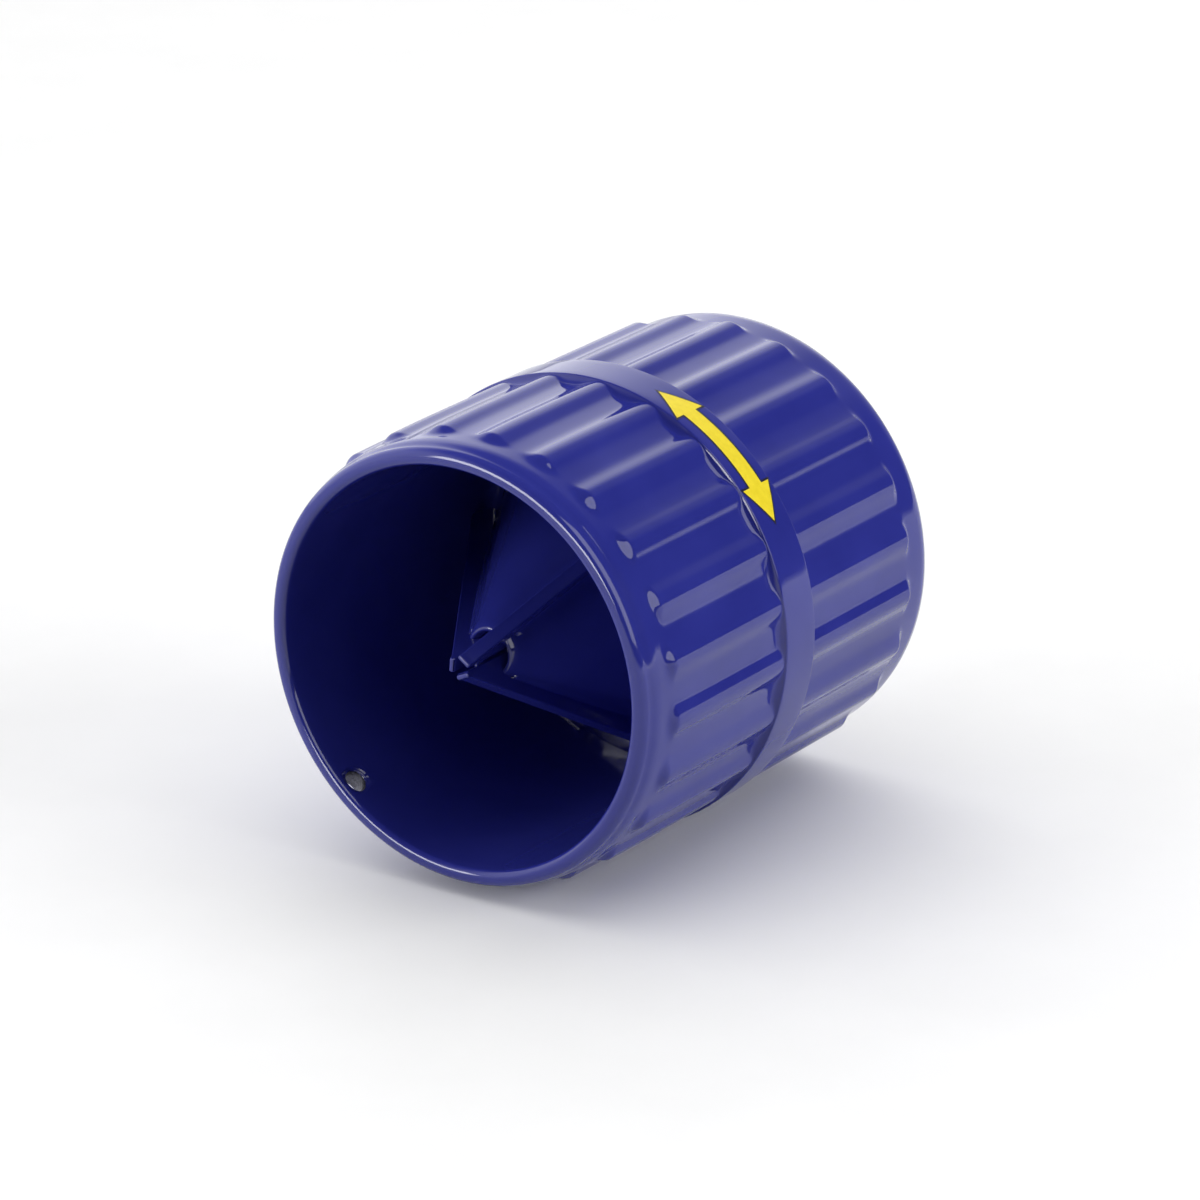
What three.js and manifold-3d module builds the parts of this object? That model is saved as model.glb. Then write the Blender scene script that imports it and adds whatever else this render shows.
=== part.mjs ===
// Inner and outer tube reamer: a short ribbed barrel that carries three blades on a conical web.
// The tube axis runs along Y. The mouth with the pointed blade cone faces -Y, and the other mouth,
// with the hollow blade cone, faces +Y. The barrel lies on its middle band, on the plane z = 0.

import * as THREE from 'three';
import { mergeVertices } from 'three/addons/utils/BufferGeometryUtils.js';
import Module from 'manifold-3d';

// Driving dimensions, in millimetres. "Depth" is measured along the axis from the front mouth.

const LENGTH = 52.5;
const BORE_RADIUS = 21.1;
const RIM_RADIUS = 23.0;
const MOUTH_OVERRUN = 2;

const RIB_COUNT = 24;
const RIB_MEAN_RADIUS = 23.7;
const RIB_FIRST_CREST_DEGREES = 11;
const RIB_WAVE = [0.352, 0.062];
const FACETS_PER_RIB = 4;
const PLAIN_RADIUS = 23.5;

const BAND_RADIUS = 24.3;
const BAND_START = 23.5;
const BAND_END = 28.8;
const BAND_FACETS = 32;

const BLADE_ANGLES_DEGREES = { blade_top: 55, blade_left: 175, blade_low: 295 };
const BLADE_THICKNESS = 1.5;
const BLADE_AXIAL_WIDTH = 14;
const BLADE_APEX_DEPTH = -0.56;
const BLADE_SLOPE = 1.565;
const BLADE_TIP_DEPTH = 1.0;
const BLADE_INNER_RADIUS = 0.6;
const BLADE_OUTER_RADIUS = 21.5;
const BLADE_EDGE_ROUNDING = 0.2;

const WEB_APEX_DEPTH = 1.8;
const WEB_SLOPE = 1.73;
const WEB_AXIAL_THICKNESS = 5;
const WEB_ROOT_FILLET = 2;

const COLLAR_RADIUS = 3.3;
const COLLAR_BORE_RADIUS = 1.9;
const COLLAR_FRONT_DEPTH = 6.3;
const COLLAR_LENGTH = 6;
const COLLAR_EDGE = 0.3;
const COLLAR_FACETS = 24;

const WINDOW_INNER_RADIUS = 18.8;
const WINDOW_OUTER_RADIUS = 20.9;
const WINDOW_FROM_BLADE_DEGREES = -50;
const WINDOW_TO_BLADE_DEGREES = -30;

const HANG_HOLE_RADIUS = 1.2;
const HANG_HOLE_DEPTH = 2.4;
const HANG_HOLE_DEGREES = 228.5;

const GAP = 0.3;
const CAVITY_FACETS = 48;

const AXIS_HEIGHT = BAND_RADIUS * Math.cos(Math.PI / BAND_FACETS);

const BLUE_PAINT = { color: 0x1c1a8c, roughness: 0.16, metalness: 0.0 };

const wasm = await Module();
wasm.setup();

// A closed geometry as a solid. A lathe's poles leave triangles with two corners in one place,
// so those are dropped.
function toSolid(geometry) {
  geometry.deleteAttribute('normal');
  geometry.deleteAttribute('uv');
  const merged = mergeVertices(geometry);
  const corners = merged.getIndex().array;
  const triangles = [];
  for (let i = 0; i < corners.length; i += 3) {
    const [a, b, c] = corners.subarray(i, i + 3);
    if (a !== b && b !== c && c !== a) {
      triangles.push(a, b, c);
    }
  }
  return new wasm.Manifold(new wasm.Mesh({
    numProp: 3,
    vertProperties: merged.getAttribute('position').array,
    triVerts: new Uint32Array(triangles),
  }));
}

function toGeometry(solid) {
  const mesh = solid.getMesh();
  const geometry = new THREE.BufferGeometry();
  geometry.setAttribute('position', new THREE.BufferAttribute(mesh.vertProperties, 3));
  geometry.setIndex(new THREE.BufferAttribute(mesh.triVerts, 1));
  return geometry;
}

// A solid turned about the axis from [radius, depth] points, which run from low depth to high depth
// on the outside and start and end on the axis.
function turned(points, facets, turnDegrees = 0) {
  const outline = points.map(([radius, depth]) => new THREE.Vector2(radius, depth));
  const geometry = new THREE.LatheGeometry(outline, facets);
  geometry.rotateY(THREE.MathUtils.degToRad(turnDegrees));
  return geometry;
}

// An outline of [radius, depth] points as a plate of the given thickness, centred on the plane
// through the axis at the given angle from +X towards +Z.
function plate(points, thickness, degrees, rounding = 0) {
  const shape = new THREE.Shape(points.map(([radius, depth]) => new THREE.Vector2(radius, depth)));
  const geometry = new THREE.ExtrudeGeometry(shape, {
    depth: thickness - 2 * rounding,
    bevelEnabled: rounding > 0,
    bevelThickness: rounding,
    bevelSize: rounding,
    bevelOffset: -rounding,
    bevelSegments: 1,
  });
  geometry.translate(0, 0, rounding - thickness / 2);
  geometry.rotateY(THREE.MathUtils.degToRad(-degrees));
  return geometry;
}

// The rib wave's height above the mean radius, at an angle from +X towards +Z.
function ribHeight(degrees) {
  const phase = THREE.MathUtils.degToRad(RIB_COUNT * (degrees - RIB_FIRST_CREST_DEGREES));
  return RIB_WAVE.reduce((height, amount, i) => height + amount * Math.cos((i + 1) * phase), 0);
}

// The barrel's outside without its band. Each row is [radius, depth, share of the rib wave].
function ribbedBarrel() {
  const ribStart = 3.0;
  const ribFull = 4.6;
  const filletStart = 20.5;
  const backRibFull = 45.8;
  const backRibEnd = 47.2;
  const bandRoot = BAND_RADIUS - 0.15;
  const rows = [
    [0, 0, 0],
    [RIM_RADIUS - 0.4, 0, 0],
    [RIM_RADIUS, 0.4, 0],
    [RIM_RADIUS, 0.8, 0],
    [PLAIN_RADIUS, 1.1, 0],
    [PLAIN_RADIUS, ribStart, 0],
    [RIB_MEAN_RADIUS, ribFull, 1],
    [RIB_MEAN_RADIUS, filletStart, 1],
    [bandRoot, BAND_START, 0],
    [bandRoot, BAND_START + 1, 0],
    [RIB_MEAN_RADIUS, BAND_END - 1, 1],
    [RIB_MEAN_RADIUS, backRibFull, 1],
    [PLAIN_RADIUS, backRibEnd, 0],
    [PLAIN_RADIUS, LENGTH - 2, 0],
    [RIM_RADIUS, LENGTH - 0.8, 0],
    [RIM_RADIUS - 0.7, LENGTH, 0],
    [0, LENGTH, 0],
  ];
  const facets = RIB_COUNT * FACETS_PER_RIB;
  // The lathe's first column points along +Z, so this turn brings a column onto a rib's crest.
  const geometry = turned(rows, facets, 90 - RIB_FIRST_CREST_DEGREES);
  const position = geometry.getAttribute('position');
  for (let i = 0; i < position.count; i += 1) {
    const share = rows[i % rows.length][2];
    const x = position.getX(i);
    const z = position.getZ(i);
    const radius = Math.hypot(x, z);
    if (share > 0) {
      const degrees = THREE.MathUtils.radToDeg(Math.atan2(z, x));
      const grow = 1 + share * ribHeight(degrees) / radius;
      position.setX(i, x * grow);
      position.setZ(i, z * grow);
    }
  }
  return toSolid(geometry);
}

function middleBand() {
  const edge = 0.15;
  const points = [
    [0, BAND_START],
    [BAND_RADIUS - edge, BAND_START],
    [BAND_RADIUS, BAND_START + edge],
    [BAND_RADIUS, BAND_END - edge],
    [BAND_RADIUS - edge, BAND_END],
    [0, BAND_END],
  ];
  // Half a facet's turn lays a flat facet on the ground.
  return toSolid(turned(points, BAND_FACETS, 180 / BAND_FACETS));
}

function webFront(radius) {
  return WEB_APEX_DEPTH + WEB_SLOPE * radius;
}

// The hollow in front of the web, which takes a tube's end over the pointed blade cone.
function frontHollow() {
  const points = [
    [0, -MOUTH_OVERRUN],
    [BORE_RADIUS, -MOUTH_OVERRUN],
    [BORE_RADIUS, webFront(BORE_RADIUS) - 2 * WEB_ROOT_FILLET],
    [BORE_RADIUS - WEB_ROOT_FILLET, webFront(BORE_RADIUS - WEB_ROOT_FILLET)],
    [0, webFront(0)],
  ];
  return toSolid(turned(points, CAVITY_FACETS));
}

// The hollow behind the web, which takes a tube's end into the hollow blade cone.
function backHollow() {
  const points = [
    [0, webFront(0) + WEB_AXIAL_THICKNESS],
    [BORE_RADIUS, webFront(BORE_RADIUS) + WEB_AXIAL_THICKNESS],
    [BORE_RADIUS, LENGTH + MOUTH_OVERRUN],
    [0, LENGTH + MOUTH_OVERRUN],
  ];
  return toSolid(turned(points, CAVITY_FACETS));
}

// The seat for the collar at the web's centre.
function collarSeat() {
  const radius = COLLAR_RADIUS + GAP;
  const points = [[0, 0], [radius, 0], [radius, LENGTH / 2], [0, LENGTH / 2]];
  return toSolid(turned(points, COLLAR_FACETS));
}

function bladeFront(radius) {
  return BLADE_APEX_DEPTH + BLADE_SLOPE * radius;
}

// The outline of a blade with a notch behind the collar's slotted half.
function bladeOutline() {
  const notchFloor = COLLAR_FRONT_DEPTH + COLLAR_LENGTH / 2 - GAP;
  const notchInner = COLLAR_BORE_RADIUS - GAP;
  const notchOuter = COLLAR_RADIUS + GAP;
  const tipRadius = (BLADE_TIP_DEPTH - BLADE_APEX_DEPTH) / BLADE_SLOPE;
  const noseEnd = COLLAR_FRONT_DEPTH + COLLAR_LENGTH;
  return [
    [BLADE_INNER_RADIUS, BLADE_TIP_DEPTH],
    [tipRadius, BLADE_TIP_DEPTH],
    [BLADE_OUTER_RADIUS, bladeFront(BLADE_OUTER_RADIUS)],
    [BLADE_OUTER_RADIUS, bladeFront(BLADE_OUTER_RADIUS) + BLADE_AXIAL_WIDTH],
    [notchOuter, bladeFront(notchOuter) + BLADE_AXIAL_WIDTH],
    [notchOuter, notchFloor],
    [notchInner, notchFloor],
    [notchInner, noseEnd],
    [BLADE_INNER_RADIUS, noseEnd],
  ];
}

function blade(degrees) {
  return plate(bladeOutline(), BLADE_THICKNESS, degrees, BLADE_EDGE_ROUNDING);
}

// The slot that a blade sits in, through the web and into the barrel's wall.
function bladeSlot(degrees) {
  const outer = BLADE_OUTER_RADIUS + GAP;
  const clear = GAP * Math.hypot(1, BLADE_SLOPE);
  const points = [
    [0, bladeFront(0) - clear],
    [outer, bladeFront(outer) - clear],
    [outer, bladeFront(outer) + BLADE_AXIAL_WIDTH + clear],
    [0, bladeFront(0) + BLADE_AXIAL_WIDTH + clear],
  ];
  return toSolid(plate(points, BLADE_THICKNESS + 2 * GAP, degrees));
}

// A chip window through the web, close to the wall on one side of a blade.
function chipWindow(bladeDegrees) {
  const from = THREE.MathUtils.degToRad(bladeDegrees + WINDOW_FROM_BLADE_DEGREES);
  const to = THREE.MathUtils.degToRad(bladeDegrees + WINDOW_TO_BLADE_DEGREES);
  const shape = new THREE.Shape();
  shape.absarc(0, 0, WINDOW_OUTER_RADIUS, from, to, false);
  shape.absarc(0, 0, WINDOW_INNER_RADIUS, to, from, true);
  const start = webFront(WINDOW_INNER_RADIUS) - 2 * WEB_ROOT_FILLET;
  const end = webFront(WINDOW_OUTER_RADIUS) + 2 * WEB_AXIAL_THICKNESS;
  const geometry = new THREE.ExtrudeGeometry(shape, {
    depth: end - start,
    curveSegments: 4,
    bevelEnabled: false,
  });
  // The outline's second axis goes up to +Z, and the extrusion runs back from the far end.
  geometry.rotateX(Math.PI / 2);
  geometry.translate(0, end, 0);
  return toSolid(geometry);
}

function hangHole() {
  const length = 8;
  const geometry = new THREE.CylinderGeometry(HANG_HOLE_RADIUS, HANG_HOLE_RADIUS, length, 16);
  geometry.rotateZ(Math.PI / 2);
  geometry.translate((BORE_RADIUS + RIM_RADIUS) / 2, HANG_HOLE_DEPTH, 0);
  geometry.rotateY(THREE.MathUtils.degToRad(-HANG_HOLE_DEGREES));
  return toSolid(geometry);
}

function reamerBody() {
  let body = ribbedBarrel().add(middleBand());
  body = body.subtract(frontHollow()).subtract(backHollow()).subtract(collarSeat());
  for (const degrees of Object.values(BLADE_ANGLES_DEGREES)) {
    body = body.subtract(bladeSlot(degrees)).subtract(chipWindow(degrees));
  }
  return toGeometry(body.subtract(hangHole()));
}

// The collar is a short ring, slotted from the front to half its length for the three blades.
function centreCollar() {
  const back = COLLAR_FRONT_DEPTH + COLLAR_LENGTH;
  let collar = toSolid(turned([
    [0, COLLAR_FRONT_DEPTH],
    [COLLAR_RADIUS - COLLAR_EDGE, COLLAR_FRONT_DEPTH],
    [COLLAR_RADIUS, COLLAR_FRONT_DEPTH + COLLAR_EDGE],
    [COLLAR_RADIUS, back],
    [0, back],
  ], COLLAR_FACETS));
  collar = collar.subtract(toSolid(turned([
    [0, COLLAR_FRONT_DEPTH - 1],
    [COLLAR_BORE_RADIUS, COLLAR_FRONT_DEPTH - 1],
    [COLLAR_BORE_RADIUS, back + 1],
    [0, back + 1],
  ], COLLAR_FACETS)));
  const slotFloor = COLLAR_FRONT_DEPTH + COLLAR_LENGTH / 2;
  const slotOuter = COLLAR_RADIUS + 1;
  const slot = [
    [0, COLLAR_FRONT_DEPTH - 1],
    [slotOuter, COLLAR_FRONT_DEPTH - 1],
    [slotOuter, slotFloor],
    [0, slotFloor],
  ];
  for (const degrees of Object.values(BLADE_ANGLES_DEGREES)) {
    collar = collar.subtract(toSolid(plate(slot, BLADE_THICKNESS + 2 * GAP, degrees)));
  }
  return toGeometry(collar);
}

function piece(name, geometry) {
  const mesh = new THREE.Mesh(geometry, new THREE.MeshStandardMaterial(BLUE_PAINT));
  mesh.name = name;
  return mesh;
}

const reamer = new THREE.Group();
reamer.add(piece('reamer_body', reamerBody()));
reamer.add(piece('centre_collar', centreCollar()));
for (const [name, degrees] of Object.entries(BLADE_ANGLES_DEGREES)) {
  reamer.add(piece(name, blade(degrees)));
}
reamer.position.set(0, -LENGTH / 2, AXIS_HEIGHT);

const model = new THREE.Group();
model.add(reamer);

export default model;
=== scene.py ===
import math

import bmesh
import bpy
import numpy as np
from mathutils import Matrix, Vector


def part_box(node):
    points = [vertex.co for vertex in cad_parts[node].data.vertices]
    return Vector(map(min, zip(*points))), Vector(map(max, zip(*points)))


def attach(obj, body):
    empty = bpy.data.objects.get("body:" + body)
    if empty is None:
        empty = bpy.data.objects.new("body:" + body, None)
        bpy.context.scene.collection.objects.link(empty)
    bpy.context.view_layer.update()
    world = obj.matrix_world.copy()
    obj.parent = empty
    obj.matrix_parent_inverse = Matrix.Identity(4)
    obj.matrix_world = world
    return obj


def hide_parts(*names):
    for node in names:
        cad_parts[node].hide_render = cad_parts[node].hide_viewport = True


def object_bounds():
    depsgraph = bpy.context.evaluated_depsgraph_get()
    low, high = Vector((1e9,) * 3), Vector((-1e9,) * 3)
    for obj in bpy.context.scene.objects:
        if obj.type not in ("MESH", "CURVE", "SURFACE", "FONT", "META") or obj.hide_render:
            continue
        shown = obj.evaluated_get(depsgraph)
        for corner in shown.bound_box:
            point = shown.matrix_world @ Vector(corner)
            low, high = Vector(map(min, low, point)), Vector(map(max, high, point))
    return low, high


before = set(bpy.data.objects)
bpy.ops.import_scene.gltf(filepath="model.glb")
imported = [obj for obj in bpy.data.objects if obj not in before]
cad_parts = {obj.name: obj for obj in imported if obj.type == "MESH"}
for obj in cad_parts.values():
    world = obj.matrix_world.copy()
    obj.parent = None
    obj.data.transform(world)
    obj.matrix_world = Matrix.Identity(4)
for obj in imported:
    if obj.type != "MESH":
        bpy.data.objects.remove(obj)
cad_low, cad_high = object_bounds()

# Lengths below are in millimetres and angles in degrees, unless a name or comment says otherwise.
# "Depth" is measured along the barrel from its front mouth, and an angle turns from +X towards +Z.
# A profile is a list of [radius, depth] points.

MM = 0.001

body_low, body_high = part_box("reamer_body")
AXIS_X = (body_low[0] + body_high[0]) / 2 / MM
AXIS_Z = (body_low[2] + body_high[2]) / 2 / MM
FRONT_Y = body_low[1] / MM
LENGTH = (body_high[1] - body_low[1]) / MM

# Barrel
AROUND = 576  # points in each row round the barrel
BORE_RADIUS = 21.1

RIB_COUNT = 24
RIB_FIRST_CREST = 11
RIB_WAVE = (0.352, 0.062, -0.013, -0.007)  # cosine terms of a rib's section
VALLEY_RADIUS = 23.42
RIB_START = 4.9
RIB_START_RAMP = 1.8
RIB_END = 47.35
RIB_END_RAMP = 1.5
FRONT_TAPER = 0.25
FRONT_TAPER_LENGTH = 12

BAND_RADIUS = 24.3
BAND_START = 23.5
BAND_END = 28.8
BAND_EDGE = 0.22
BAND_FLANK_SLOPE = 1.5
BAND_FILLET = 0.5
BAND_FILLET_FADE = 0.4
BAND_FILLET_LEAST = 0.02

LIP_INNER_BEND = 0.7
LIP_OUTER_BEND = 1.0
LIP_CROWN_RADIUS = 21.8
SHOULDER = [(22.92, 1.12), (22.97, 1.3), (23.06, 1.55), (23.15, 1.8), (23.21, 2.1)]
SHOULDER_END = 2.5

BACK_FACE_RADIUS = 22.3
BACK_EDGE_LENGTH = 2.1
BACK_FACE_MIDDLE = 21.8
BACK_BORE_BEND = 0.3

# Distances between the barrel's rows of points
ROW_EDGE = 0.03
ROW_FILLET = 0.1
ROW_RAMP = 0.12
ROW_WEB_FRONT = 0.55
ROW_WEB_BACK = 0.8
ROW_BORE = 1.2
ROW_PLAIN = 1.3

# The conical web, and the chip windows in its root
WEB_APEX = 1.8
WEB_SLOPE = 1.73
WEB_THICKNESS = 5
WEB_ROOT_FILLET = 1.0
WEB_BACK_FILLET = 0.8
BLADE_FILLET_MOST = 1.4
BLADE_FILLET_LEAST = 0.35
BLADE_FILLET_GROWTH = 0.12  # per millimetre of radius
BLADE_FILLET_UNDER = 0.1
WINDOW_FROM_BLADE = -40
WINDOW_HALF_ANGLE = 10
WINDOW_RADIUS = 19.9
WINDOW_HALF_HEIGHT = 1.15
WINDOW_ROUNDNESS = 0.45  # 1 would be an ellipse, and 0 a rectangle
WINDOW_DEPTHS = (28, 48)

HANG_HOLE_RADIUS = 1.2
HANG_HOLE_ANGLE = 228.5
HANG_HOLE_DEPTH = 2.4
HANG_HOLE_SOFT = 0.3

# Blades
BLADES = {"blade_top": 55, "blade_left": 175, "blade_low": 295}
BLADE_THICKNESS = 1.5
BLADE_SLOPE = 1.565
BLADE_APEX = -0.56
BLADE_WIDTH = 14
BLADE_OUTER_RADIUS = 21.5
BLADE_INNER_RADIUS = 0.6
BLADE_TIP = 1.0
BLADE_TIP_CORNER = (0.2, 0.25)
BLADE_TIP_FLAT_END = 1.15
BLADE_EDGE_START = 1.45
BLADE_SOFT_CORNER = 0.28
BLADE_CORNER_ANGLE = 20
GROUND_EDGE = (5, 6)  # the outline's points at the two ends of the rear edge
GRIND = 1.3

# Collar
COLLAR_RADIUS = 3.3
COLLAR_BORE = 1.9
COLLAR_FRONT = 6.3
COLLAR_LENGTH = 6
COLLAR_BEND = 0.25
COLLAR_CROWN_RADIUS = 2.4
COLLAR_CROWN_BEND = 0.35
COLLAR_SKIRT = (4.4, 4.1, 3.8, 3.5, 3.2, 2.95)
COLLAR_SKIRT_CURVE = 0.08
COLLAR_SKIRT_SINK = 0.02
COLLAR_IN_WEB = 0.05
CAD_GAP = 0.3

# The printed arrow on the band
ARROW_START = 30.5
ARROW_END = 73.5
ARROW_DEPTH = (BAND_START + BAND_END) / 2
ARROW_HEAD = 9.5
ARROW_HALF_HEAD = 2.25
ARROW_HALF_SHAFT = 1.05
ARROW_HALF_TIP = 0.005
ARROW_NOTCH = 0.01
OUTLINE_GROW = 0.22
OUTLINE_LIFT = 0.012
ARROW_LIFT = 0.024

# Colours, as linear red, green and blue
BLUE_PAINT = (0.021, 0.026, 0.235), (0.028, 0.034, 0.275)
BARE_METAL = (0.07, 0.07, 0.085), (0.15, 0.15, 0.18)
DARK_INK = (0.01, 0.01, 0.03), (0.015, 0.015, 0.04)
YELLOW_INK = (0.84, 0.66, 0.01), (0.92, 0.74, 0.02)
WHITE_PAPER = (0.93, 0.93, 0.93), (0.95, 0.95, 0.95)
FLOOR_BOUNCE = (0.55, 0.55, 0.55)
BACKDROP = (0.9, 0.9, 0.9, 1)

# Studio, in metres and watts. Azimuth turns from +Y towards +X.
FLOOR_REACH = 4
FLOOR_GAP = 0.0002
DIFFUSER_SHADE = 1.6
DIFFUSER_AZIMUTH = -80
DIFFUSER_STOPS = ((0.38, 0.0), (0.5, 0.18), (0.6, 0.28), (0.7, 0.7), (0.82, 1.0))
OVERHEAD_STOPS = ((0.5, 1.0), (0.78, 0.9), (0.9, 0.05))
ROOM_SHADE = 0.04
SOFTBOXES = {  # azimuth, elevation, distance, size, power, and what it is for: gloss or light
    "right_softbox": (107, 37, 1.0, (0.8, 1.1), 8, "gloss"),
    "right_fill": (72, 15, 1.0, (0.8, 0.8), 8, "light"),
    "overhead_fill": (-20, 80, 1.2, (2.2, 2.2), 17, "light"),
    "front_strip": (-168, 12, 1.1, (1.0, 0.36), 12, "gloss"),
    "front_fill": (-148, 12, 1.1, (0.6, 0.3), 4.2, "light"),
}
CAMERA_AZIMUTH = 180 - 34.49
CAMERA_ELEVATION = 20.68
CAMERA_DISTANCE = 587.9 * MM
CAMERA_LENS = 171.65
CAMERA_AIM = Vector((AXIS_X - 0.06, FRONT_Y + 25.89, AXIS_Z - 0.54)) * MM


def place(radius, degrees, depth):
    """Points in metres from a radius, an angle and a depth, which may be arrays."""
    turn = np.radians(degrees)
    x = AXIS_X + radius * np.cos(turn)
    z = AXIS_Z + radius * np.sin(turn)
    y = FRONT_Y + depth + 0 * x
    return np.stack([x, y, z], axis=-1) * MM


def outwards(degrees):
    """Unit vectors away from the barrel's axis at an angle, and along the circle there."""
    turn = math.radians(degrees)
    return (math.cos(turn), 0, math.sin(turn)), (-math.sin(turn), 0, math.cos(turn))


def spaced(start, stop, step):
    """Evenly spaced values from start up to but not including stop."""
    count = max(1, round(abs(stop - start) / step))
    return list(np.linspace(start, stop, count, endpoint=False))


def arc(radius, depth, bend, start, stop, count):
    """A profile on an arc of radius bend, from one angle to another."""
    turns = np.radians(np.linspace(start, stop, count))
    return [(radius + bend * math.cos(t), depth + bend * math.sin(t)) for t in turns]


def new_object(name, data):
    obj = bpy.data.objects.new(name, data)
    bpy.context.scene.collection.objects.link(obj)
    return obj


def mesh_object(name, points, faces, smooth=True):
    mesh = bpy.data.meshes.new(name)
    mesh.from_pydata([tuple(p) for p in points], [], faces)
    mesh.validate()
    if smooth:
        mesh.shade_smooth()
    else:
        mesh.shade_flat()
    return new_object(name, mesh)


def wrapped_faces(rows, columns, close_rows):
    """Quads of a grid of points that closes round its columns, and round its rows too if asked."""
    faces = []
    for row in range(rows if close_rows else rows - 1):
        below = row * columns
        above = (row + 1) % rows * columns
        for column in range(columns):
            after = (column + 1) % columns
            faces.append((below + column, above + column, above + after, below + after))
    return faces


def apply_modifiers(obj):
    graph = bpy.context.evaluated_depsgraph_get()
    mesh = bpy.data.meshes.new_from_object(obj.evaluated_get(graph))
    obj.modifiers.clear()
    obj.data = mesh


# ---------------------------------------------------------------- barrel

def rib_height(phase):
    return sum(amount * np.cos((i + 1) * phase) for i, amount in enumerate(RIB_WAVE))


def smooth_max(a, b, blend):
    """The larger of two heights, with a fillet of about the size of blend where they meet."""
    near = np.maximum(blend - np.abs(a - b), 0) / blend
    return np.maximum(a, b) + near ** 2 * blend / 4


def ribbed_radius(degrees, depth):
    """The barrel's outer radius over its ribs, whose two ends run out in rounded ramps."""
    phase = np.radians(RIB_COUNT * (degrees - RIB_FIRST_CREST))
    phase = np.abs((phase + np.pi) % (2 * np.pi) - np.pi)
    if depth < RIB_START:
        phase = np.hypot(phase, np.pi * (RIB_START - depth) / RIB_START_RAMP)
    if depth > RIB_END:
        phase = np.hypot(phase, np.pi * (depth - RIB_END) / RIB_END_RAMP)
    phase = np.minimum(phase, np.pi)
    taper = FRONT_TAPER * max(0, 1 - depth / FRONT_TAPER_LENGTH) ** 2
    return VALLEY_RADIUS - taper + rib_height(phase) - rib_height(np.pi)


def outer_radius(degrees, depth):
    """The barrel's outer radius, with its band and the paint fillet in front of that."""
    ribs = ribbed_radius(degrees, depth)
    if depth < BAND_START:
        flank = BAND_RADIUS - BAND_EDGE - BAND_FLANK_SLOPE * (BAND_START - depth)
        fade = min(1, (BAND_START - depth) / BAND_FILLET_FADE)
        return smooth_max(ribs, flank, BAND_FILLET_LEAST + BAND_FILLET * fade)
    if depth <= BAND_END:
        inset = min(depth - BAND_START, BAND_END - depth, BAND_EDGE)
        rounding = BAND_EDGE - math.sqrt(BAND_EDGE ** 2 - (BAND_EDGE - inset) ** 2)
        return ribs * 0 + BAND_RADIUS - rounding
    return ribs


def outside_depths():
    """Depths of the barrel's outer rows, close together where its shape turns."""
    return (
        spaced(SHOULDER_END, SHOULDER_END + 0.5, 0.25)
        + spaced(SHOULDER_END + 0.5, RIB_START + 0.2, ROW_RAMP)
        + spaced(RIB_START + 0.2, BAND_START - 2.7, ROW_PLAIN)
        + spaced(BAND_START - 2.7, BAND_START, ROW_FILLET)
        + spaced(BAND_START, BAND_START + BAND_EDGE, ROW_EDGE)
        + spaced(BAND_START + BAND_EDGE, BAND_END - BAND_EDGE, 1.0)
        + spaced(BAND_END - BAND_EDGE, BAND_END, ROW_EDGE)
        + [BAND_END, BAND_END + ROW_EDGE, BAND_END + 0.3]
        + spaced(BAND_END + 0.8, RIB_END - 0.2, ROW_PLAIN)
        + spaced(RIB_END - 0.2, RIB_END + RIB_END_RAMP, ROW_RAMP)
        + spaced(RIB_END + RIB_END_RAMP, LENGTH - BACK_EDGE_LENGTH, 0.4)
    )


def front_rim():
    """The front lip, a crown with rounded corners, and the shoulder behind it."""
    inner, outer = LIP_INNER_BEND, LIP_OUTER_BEND
    return (
        arc(BORE_RADIUS + inner, inner, inner, 180, 262, 9)
        + arc(LIP_CROWN_RADIUS, outer, outer, 270, 286, 4)
        + arc(LIP_CROWN_RADIUS + 0.1, outer + 0.01, outer, 290, 360, 12)
        + SHOULDER
    )


def back_rim():
    """The back end's wide rounded edge, its ring face and the corner of its bore."""
    across = VALLEY_RADIUS - BACK_FACE_RADIUS
    start = LENGTH - BACK_EDGE_LENGTH
    turns = np.radians(np.linspace(0, 90, 10))
    edge = [
        (BACK_FACE_RADIUS + across * math.cos(t), start + BACK_EDGE_LENGTH * math.sin(t))
        for t in turns
    ]
    bend = BACK_BORE_BEND
    corner = arc(BORE_RADIUS + bend, LENGTH - bend, bend, 90, 180, 5)
    return edge + [(BACK_FACE_MIDDLE, LENGTH)] + corner


def web_front(radius):
    return WEB_APEX + WEB_SLOPE * radius


def web_root(offset, bend, side):
    """The fillet between the web and the bore, in front of the web (side 1) or behind it (-1):
    its centre's radius and depth, and the angle at which it meets the web."""
    steep = math.hypot(1, WEB_SLOPE)
    radius = BORE_RADIUS - bend
    depth = web_front(radius) + offset - side * bend * steep
    tangent = math.degrees(math.atan2(side, -side * WEB_SLOPE))
    return radius, depth, tangent


def blade_fillet(radius, degrees):
    """How far the web rises beside a blade, where the two run into each other."""
    rise = 0 * degrees
    bend = min(BLADE_FILLET_MOST, BLADE_FILLET_LEAST + BLADE_FILLET_GROWTH * radius)
    for angle in BLADES.values():
        turn = np.radians(degrees - angle)
        across = np.where(np.cos(turn) > 0, np.abs(radius * np.sin(turn)), radius)
        gap = np.clip((across - BLADE_THICKNESS / 2 + BLADE_FILLET_UNDER) / bend, 0, 1)
        rise = np.maximum(rise, bend * (1 - np.sqrt(1 - (1 - gap) ** 2)))
    return rise


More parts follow.
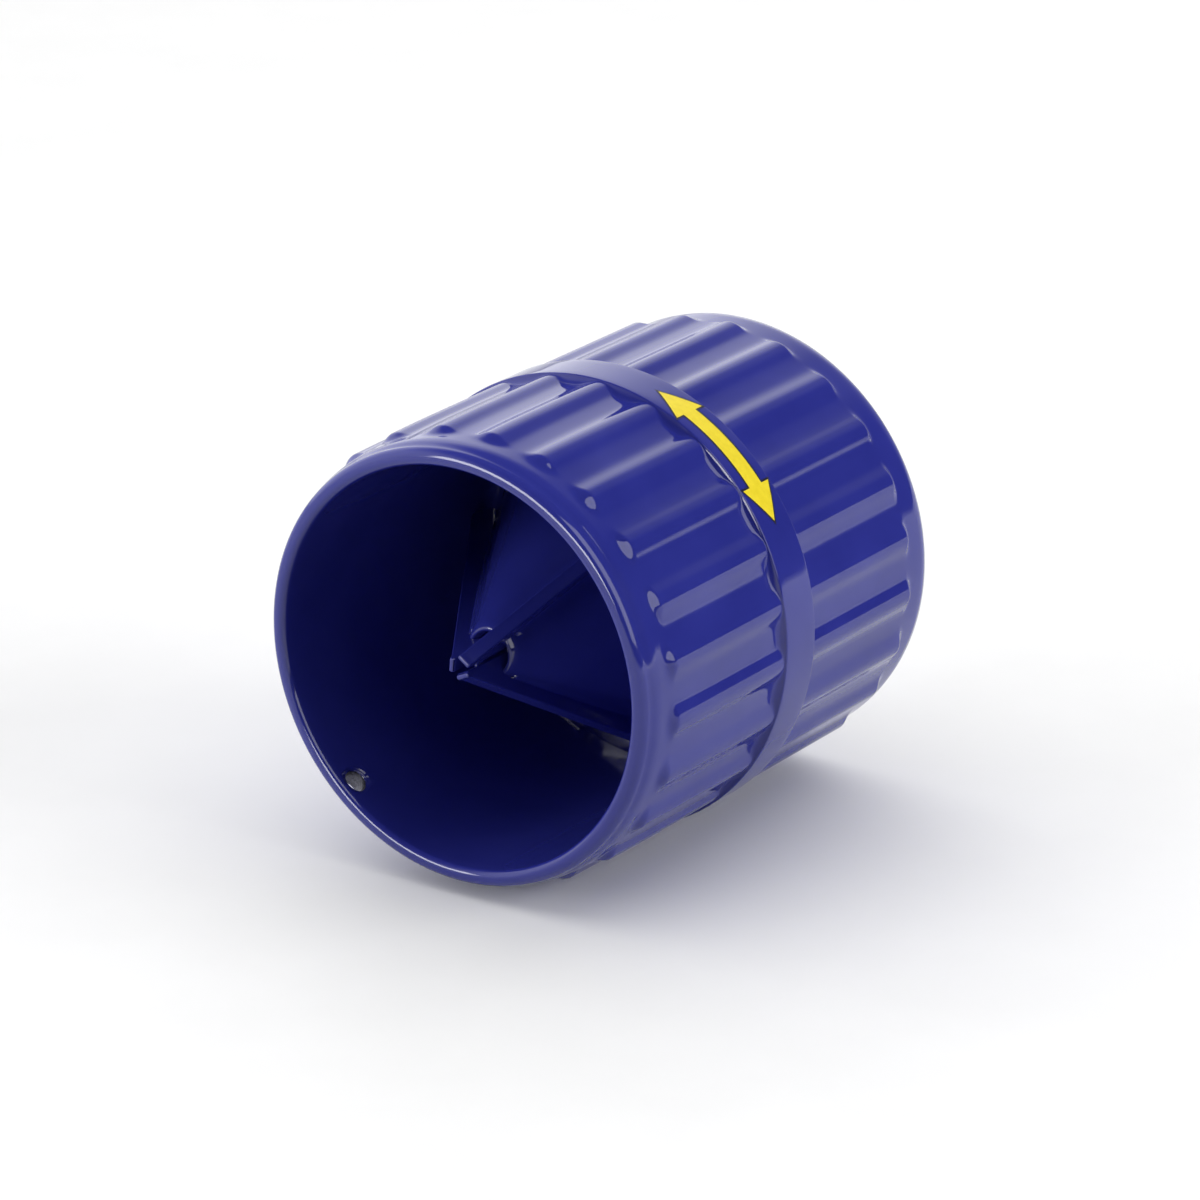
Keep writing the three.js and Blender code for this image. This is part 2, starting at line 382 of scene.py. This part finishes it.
def barrel_rows(degrees):
    """The barrel's rows of points, from the front bore's corner round the outside, the back hollow,
    the web and the front hollow to the start again."""
    rows = [place(radius, degrees, depth) for radius, depth in front_rim()]
    rows += [place(outer_radius(degrees, depth), degrees, depth) for depth in outside_depths()]
    rows += [place(radius, degrees, depth) for radius, depth in back_rim()]
    web_end = COLLAR_RADIUS - COLLAR_IN_WEB

    bend = WEB_BACK_FILLET
    radius, depth, tangent = web_root(WEB_THICKNESS, bend, -1)
    rows += [place(BORE_RADIUS, degrees, d) for d in spaced(LENGTH - 1, depth, ROW_BORE)]
    rows += [place(r, degrees, d) for r, d in arc(radius, depth, bend, 0, tangent, 6)]
    root = radius + bend * math.cos(math.radians(tangent))
    for r in spaced(root - 0.5, web_end, ROW_WEB_BACK) + [web_end]:
        rows.append(place(r, degrees, web_front(r) + WEB_THICKNESS + blade_fillet(r, degrees)))

    bend = WEB_ROOT_FILLET
    radius, depth, tangent = web_root(0, bend, 1)
    root = radius + bend * math.cos(math.radians(tangent))
    for r in [web_end] + spaced(COLLAR_RADIUS + 0.3, root - 0.4, ROW_WEB_FRONT):
        rows.append(place(r, degrees, web_front(r) - blade_fillet(r, degrees)))
    rows += [place(r, degrees, d) for r, d in arc(radius, depth, bend, tangent, 0, 12)]
    rows += [place(BORE_RADIUS, degrees, d) for d in spaced(depth - 1, 0.9, ROW_BORE)]
    return np.array(rows)


def cutter(name, rings):
    """A closed tool shape from rings of points, capped at both ends."""
    rows = len(rings)
    columns = len(rings[0])
    faces = wrapped_faces(rows, columns, False)
    faces.append(tuple(range(columns)))
    faces.append(tuple(range((rows - 1) * columns, rows * columns))[::-1])
    tool = mesh_object(name, np.concatenate(rings), faces)
    shape = bmesh.new()
    shape.from_mesh(tool.data)
    bmesh.ops.recalc_face_normals(shape, faces=shape.faces)
    shape.to_mesh(tool.data)
    shape.free()
    return tool


def window_cutter(blade_degrees):
    """A chip window in the web's root beside a blade, with rounded corners."""
    turns = np.radians(np.arange(0, 360, 7.5))
    across = np.sign(np.cos(turns)) * np.abs(np.cos(turns)) ** WINDOW_ROUNDNESS
    outward = np.sign(np.sin(turns)) * np.abs(np.sin(turns)) ** WINDOW_ROUNDNESS
    degrees = blade_degrees + WINDOW_FROM_BLADE + WINDOW_HALF_ANGLE * across
    radius = WINDOW_RADIUS + WINDOW_HALF_HEIGHT * outward
    return cutter("window_tool", [place(radius, degrees, depth) for depth in WINDOW_DEPTHS])


def hang_hole_cutter():
    """The small drilled hole beside the front rim, with edges rounded by the paint."""
    soft = HANG_HOLE_SOFT
    turns = np.radians(np.linspace(0, 90, 6))
    flare = [(soft * (1 - math.cos(t)), HANG_HOLE_RADIUS + soft * (1 - math.sin(t))) for t in turns]
    wide = HANG_HOLE_RADIUS + soft
    section = [(BORE_RADIUS - 1, wide)]
    section += [(BORE_RADIUS + height, radius) for height, radius in flare]
    section += [(VALLEY_RADIUS - height, radius) for height, radius in reversed(flare)]
    section += [(VALLEY_RADIUS + 1, wide)]

    out, side = (np.array(direction) for direction in outwards(HANG_HOLE_ANGLE))
    along = np.array([0, 1, 0])
    centre = np.array([AXIS_X, FRONT_Y + HANG_HOLE_DEPTH, AXIS_Z])
    turns = np.radians(np.arange(0, 360, 10))[:, None]
    circle = side * np.cos(turns) + along * np.sin(turns)
    rings = [(centre + out * height + radius * circle) * MM for height, radius in section]
    return cutter("hole_tool", rings)


def barrel():
    degrees = RIB_FIRST_CREST + np.arange(AROUND) * 360 / AROUND
    rows = barrel_rows(degrees)
    faces = wrapped_faces(len(rows), AROUND, True)
    obj = mesh_object("ribbed_barrel", rows.reshape(-1, 3), faces)
    tools = [window_cutter(angle) for angle in BLADES.values()] + [hang_hole_cutter()]
    for tool in tools:
        cut = obj.modifiers.new("cut", "BOOLEAN")
        cut.operation = "DIFFERENCE"
        cut.solver = "EXACT"
        cut.object = tool
    apply_modifiers(obj)
    for tool in tools:
        bpy.data.objects.remove(tool, do_unlink=True)
    for face in hang_hole_faces(obj.data):
        face.material_index = 1
    return obj


def hang_hole_faces(mesh):
    """The faces of the drilled hole's bare wall."""
    out = Vector(outwards(HANG_HOLE_ANGLE)[0])
    centre = Vector((AXIS_X, FRONT_Y + HANG_HOLE_DEPTH, AXIS_Z)) * MM
    found = []
    for face in mesh.polygons:
        from_centre = face.center - centre
        height = from_centre.dot(out)
        if height > 0 and (from_centre - height * out).length < (HANG_HOLE_RADIUS + 0.02) * MM:
            found.append(face)
    return found


# ---------------------------------------------------------------- blades and collar

def blade_front(radius):
    return BLADE_APEX + BLADE_SLOPE * radius


def blade_outline():
    """A blade's profile, with the notch that its collar fills."""
    notch_floor = COLLAR_FRONT + COLLAR_LENGTH / 2
    notch_outside = COLLAR_RADIUS + CAD_GAP
    notch_inside = COLLAR_BORE - CAD_GAP
    return [
        (BLADE_INNER_RADIUS, BLADE_TIP + BLADE_TIP_CORNER[1]),
        (BLADE_INNER_RADIUS + BLADE_TIP_CORNER[0], BLADE_TIP),
        (BLADE_TIP_FLAT_END, BLADE_TIP),
        (BLADE_EDGE_START, blade_front(BLADE_EDGE_START)),
        (BLADE_OUTER_RADIUS, blade_front(BLADE_OUTER_RADIUS)),
        (BLADE_OUTER_RADIUS, blade_front(BLADE_OUTER_RADIUS) + BLADE_WIDTH),
        (notch_outside, blade_front(notch_outside) + BLADE_WIDTH),
        (notch_outside, notch_floor),
        (notch_inside, notch_floor),
        (notch_inside, COLLAR_FRONT + COLLAR_LENGTH),
        (BLADE_INNER_RADIUS, COLLAR_FRONT + COLLAR_LENGTH),
    ]


def blade(name, degrees):
    """A flat blade with soft painted corners and a bevel ground along its rear edge."""
    out, side = (Vector(direction) for direction in outwards(degrees))
    centre = Vector((AXIS_X, FRONT_Y, AXIS_Z))
    shape = bmesh.new()
    sheets = []
    for across in (-BLADE_THICKNESS / 2, BLADE_THICKNESS / 2):
        sheet = []
        for i, (radius, depth) in enumerate(blade_outline()):
            if across < 0 and i in GROUND_EDGE:
                depth -= GRIND
            point = centre + out * radius + side * across + Vector((0, depth, 0))
            sheet.append(shape.verts.new(point * MM))
        sheets.append(sheet)
    low, high = sheets
    shape.faces.new(low)
    shape.faces.new(high[::-1])
    for i in range(len(low)):
        j = (i + 1) % len(low)
        face = shape.faces.new((low[i], high[i], high[j], low[j]))
        if (i, j) == GROUND_EDGE:
            face.material_index = 1
    bmesh.ops.recalc_face_normals(shape, faces=shape.faces)
    mesh = bpy.data.meshes.new(name)
    shape.to_mesh(mesh)
    shape.free()
    obj = new_object(name, mesh)
    obj.data.materials.append(None)
    obj.data.materials.append(None)
    soft = obj.modifiers.new("soft_corners", "BEVEL")
    soft.width = BLADE_SOFT_CORNER * MM
    soft.segments = 4
    soft.limit_method = "ANGLE"
    soft.angle_limit = math.radians(BLADE_CORNER_ANGLE)
    soft.harden_normals = True
    soft.material = 0
    mesh.shade_smooth()
    apply_modifiers(obj)
    return obj


def collar():
    """The ring round the blades' inner ends, with a painted skirt, a rounded rim and a bore."""
    back = COLLAR_FRONT + COLLAR_LENGTH
    bend = COLLAR_BEND
    profile = [(COLLAR_RADIUS, web_front(COLLAR_RADIUS) + 1)]
    for radius in COLLAR_SKIRT:
        rise = COLLAR_SKIRT_CURVE * (COLLAR_SKIRT[0] - radius) ** 2
        profile.append((radius, web_front(radius) + COLLAR_SKIRT_SINK - rise))
    profile += arc(
        COLLAR_CROWN_RADIUS, COLLAR_FRONT + COLLAR_CROWN_BEND, COLLAR_CROWN_BEND, -30, -120, 8
    )
    profile += arc(COLLAR_BORE + bend, COLLAR_FRONT + 0.8, bend, -110, -180, 5)
    profile += arc(COLLAR_BORE + bend, back - bend, bend, 180, 90, 4)
    profile += arc(COLLAR_RADIUS - bend, back - bend, bend, 90, 0, 4)
    degrees = np.arange(0, 360, 3.75)
    rows = [place(radius, degrees, depth) for radius, depth in profile]
    faces = [face[::-1] for face in wrapped_faces(len(rows), len(degrees), True)]
    return mesh_object("collar_ring", np.concatenate(rows), faces)


# ---------------------------------------------------------------- printed arrow on the band

def printed_arrow(name, lift, grow):
    """The double-headed arrow as a thin film that follows the band, larger all round by grow."""
    edge = math.degrees(grow / BAND_RADIUS)
    reach = 2 * edge
    head = ARROW_HEAD + 3 * edge
    turns = list(np.linspace(ARROW_START - reach, ARROW_END + reach, 121))
    for root in (ARROW_START + ARROW_HEAD + edge, ARROW_END - ARROW_HEAD - edge):
        turns += [root - ARROW_NOTCH, root + ARROW_NOTCH]
    turns.sort()
    points = []
    for degrees in turns:
        from_tip = min(degrees - ARROW_START, ARROW_END - degrees) + reach
        if from_tip < head:
            half = (ARROW_HALF_HEAD + 1.5 * grow) * from_tip / head
        else:
            half = ARROW_HALF_SHAFT + grow
        half = max(half, ARROW_HALF_TIP)
        for share in (-1, 1):
            points.append(place(BAND_RADIUS + lift, degrees, ARROW_DEPTH + share * half))
    faces = [(2 * i, 2 * i + 1, 2 * i + 3, 2 * i + 2) for i in range(len(turns) - 1)]
    return mesh_object(name, points, faces)


# ---------------------------------------------------------------- materials

class Nodes:
    """A node tree that is built up node by node."""

    def __init__(self, tree):
        self.tree = tree

    def feed(self, socket, value):
        """Links a socket to another one, or sets its own value."""
        if isinstance(value, bpy.types.NodeSocket):
            self.tree.links.new(value, socket)
        else:
            socket.default_value = value

    def add(self, kind, inputs=(), **settings):
        node = self.tree.nodes.new("ShaderNode" + kind)
        for key, value in settings.items():
            setattr(node, key, value)
        for key, value in dict(inputs).items():
            self.feed(node.inputs[key], value)
        return node

    def blend(self, share, low, high, how="MIX"):
        """A mix of two colours, each a tuple or a socket."""
        node = self.add("Mix", data_type="RGBA", blend_type=how)
        for key, value in (("Factor", share), ("A", low), ("B", high)):
            socket = [s for s in node.inputs if s.name == key and s.enabled][0]
            self.feed(socket, (*value, 1) if isinstance(value, tuple) else value)
        return [s for s in node.outputs if s.enabled][0]


class Shader(Nodes):
    """A material with one Principled shader."""

    def __init__(self, name):
        self.material = bpy.data.materials.new(name)
        self.material.use_nodes = True
        super().__init__(self.material.node_tree)
        self.shader = self.tree.nodes["Principled BSDF"]
        self.place = self.add("TexCoord").outputs["Object"]

    def noise(self, scale, detail, place=None):
        inputs = {"Vector": place or self.place, "Scale": scale, "Detail": detail}
        return self.add("TexNoise", inputs).outputs["Fac"]

    def between(self, value, low, high):
        """Spreads the middle of a noise's range from low to high."""
        inputs = {"Value": value, 1: 0.3, 2: 0.7, 3: low, 4: high}
        return self.add("MapRange", inputs).outputs["Result"]

    def bump(self, height, strength, distance):
        inputs = {"Height": height, "Strength": strength, "Distance": distance * MM}
        return self.add("Bump", inputs).outputs["Normal"]

    def set(self, **values):
        for key, value in values.items():
            self.feed(self.shader.inputs[key.replace("_", " ")], value)


def blue_paint(name):
    """Thick glossy paint: slow changes of depth, and the faint skin of a sprayed coat."""
    paint = Shader(name)
    pooled = paint.noise(90, 3)
    skin = paint.noise(700, 2)
    paint.set(
        Base_Color=paint.blend(paint.between(pooled, 0, 1), *BLUE_PAINT),
        Roughness=paint.between(skin, 0.05, 0.09),
        Normal=paint.bump(skin, 0.03, 0.03),
    )
    return paint.material


def ground_steel(name):
    """Bare metal with the fine lines that a grinding wheel or a drill leaves."""
    steel = Shader(name)
    stretched = steel.add("Mapping", {"Vector": steel.place, "Scale": (1, 0.04, 1)})
    lines = steel.noise(4200, 3, stretched.outputs["Vector"])
    steel.set(
        Base_Color=steel.blend(steel.between(lines, 0, 1), *BARE_METAL),
        Metallic=1.0,
        Roughness=steel.between(lines, 0.24, 0.42),
        Normal=steel.bump(lines, 0.25, 0.03),
    )
    return steel.material


def ink(name, colours):
    """Printed ink, slightly uneven, under a soft sheen."""
    film = Shader(name)
    patches = film.noise(1500, 3)
    film.set(
        Base_Color=film.blend(film.between(patches, 0, 1), *colours),
        Roughness=film.between(patches, 0.32, 0.42),
        Normal=film.bump(patches, 0.08, 0.02),
    )
    return film.material


def studio_floor(name):
    """White paper. The light that it bounces onto the object is dimmed, so that the barrel's
    inside stays dark."""
    cover = Shader(name)
    grain = cover.noise(60, 3)
    paper = cover.blend(cover.between(grain, 0, 1), *WHITE_PAPER)
    bounce = cover.add("LightPath").outputs["Is Diffuse Ray"]
    cover.set(
        Base_Color=cover.blend(bounce, paper, FLOOR_BOUNCE),
        Roughness=cover.between(grain, 0.75, 0.85),
        Specular_IOR_Level=0.1,
    )
    return cover.material


# ---------------------------------------------------------------- studio

def sky(azimuth, elevation):
    """The unit vector that points to a place in the sky."""
    turn, rise = math.radians(azimuth), math.radians(elevation)
    level = math.cos(rise)
    return Vector((math.sin(turn) * level, math.cos(turn) * level, math.sin(rise)))


def floor():
    turns = np.radians(np.arange(0, 360, 7.5))
    points = np.stack([np.cos(turns), np.sin(turns), 0 * turns], axis=-1) * FLOOR_REACH
    obj = mesh_object("studio_floor", points, [tuple(range(len(turns)))], smooth=False)
    obj.location.z = cad_low[2] - FLOOR_GAP
    obj.data.materials.append(studio_floor("floor_paper"))


def softbox(name, azimuth, elevation, distance, size, power, use):
    """An area light that faces the object, and either shows in its gloss or lights it."""
    light = bpy.data.lights.new(name, "AREA")
    light.shape = "RECTANGLE"
    light.size, light.size_y = size
    light.energy = power
    toward = sky(azimuth, elevation)
    obj = new_object(name, light)
    obj.location = Vector((0, 0, AXIS_Z * MM)) + toward * distance
    obj.rotation_euler = toward.to_track_quat("Z", "Y").to_euler()
    obj.visible_diffuse = use == "light"
    obj.visible_glossy = use == "gloss"


def facing(air, direction, stops):
    """Shade by how nearly a ray points in a direction: 0 is away from it, and 1 along it."""
    ray = air.add("TexCoord").outputs["Generated"]
    dot = air.add("VectorMath", {0: ray, 1: direction}, operation="DOT_PRODUCT").outputs["Value"]
    share = air.add("Math", {0: dot, 1: 0.5, 2: 0.5}, operation="MULTIPLY_ADD").outputs["Value"]
    ramp = air.add("ValToRGB", {"Fac": share})
    for i, (position, shade) in enumerate(stops):
        marks = ramp.color_ramp.elements
        mark = marks[i] if i < 2 else marks.new(position)
        mark.position = position
        mark.color = (shade, shade, shade, 1)
    return ramp.outputs["Color"]


def studio_air():
    """A plain pale backdrop to look at. What lights the object, and shows in its gloss, is dark
    overhead and on the right, and bright on the left, as from a long diffuser."""
    world = bpy.data.worlds.new("studio_air")
    bpy.context.scene.world = world
    world.use_nodes = True
    world.node_tree.nodes.clear()
    air = Nodes(world.node_tree)
    across = facing(air, sky(DIFFUSER_AZIMUTH, 0), DIFFUSER_STOPS)
    upward = facing(air, (0, 0, 1), OVERHEAD_STOPS)
    glow = air.blend(1, across, upward, "MULTIPLY")
    lit = air.add("Background", {"Color": glow, "Strength": DIFFUSER_SHADE})
    dim = air.add("Background", {"Strength": ROOM_SHADE})
    room = air.add("AddShader", {0: lit.outputs["Background"], 1: dim.outputs["Background"]})
    backdrop = air.add("Background", {"Color": BACKDROP})
    camera_ray = air.add("LightPath").outputs["Is Camera Ray"]
    inputs = {"Fac": camera_ray, 1: room.outputs["Shader"], 2: backdrop.outputs["Background"]}
    seen = air.add("MixShader", inputs)
    air.add("OutputWorld", {"Surface": seen.outputs["Shader"]})


def camera():
    back = sky(CAMERA_AZIMUTH, CAMERA_ELEVATION)
    lens = bpy.data.cameras.new("camera")
    lens.sensor_width = 36
    lens.lens = CAMERA_LENS
    lens.clip_start = 0.01
    obj = new_object("camera", lens)
    obj.location = CAMERA_AIM + back * CAMERA_DISTANCE
    obj.rotation_euler = back.to_track_quat("Z", "Y").to_euler()
    bpy.context.scene.camera = obj


# ---------------------------------------------------------------- assembly

def finish(piece, slot, *materials, node=None):
    """Gives a piece its materials and its body, and hides the solid it stands for. The slot
    argument is not used.
    """
    for i, material in enumerate(materials):
        if i < len(piece.data.materials):
            piece.data.materials[i] = material
        else:
            piece.data.materials.append(material)
    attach(piece, "root")
    if node:
        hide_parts(node)


steel = ground_steel("bare_ground_metal")
finish(barrel(), "barrel_paint", blue_paint("barrel_blue"), steel, node="reamer_body")
finish(collar(), "collar_paint", blue_paint("collar_blue"), node="centre_collar")
blade_blue = blue_paint("blade_blue")
for blade_name, blade_angle in BLADES.items():
    plate = blade(blade_name + "_plate", blade_angle)
    finish(plate, "blade_steel", blade_blue, steel, node=blade_name)
outline = printed_arrow("arrow_outline", OUTLINE_LIFT, OUTLINE_GROW)
finish(outline, "barrel_paint", ink("dark_ink", DARK_INK))
arrow = printed_arrow("arrow_print", ARROW_LIFT, 0)
finish(arrow, "barrel_paint", ink("yellow_ink", YELLOW_INK))

floor()
studio_air()
for box_name, settings in SOFTBOXES.items():
    softbox(box_name, *settings)
camera()
bpy.context.scene.view_settings.view_transform = "Standard"
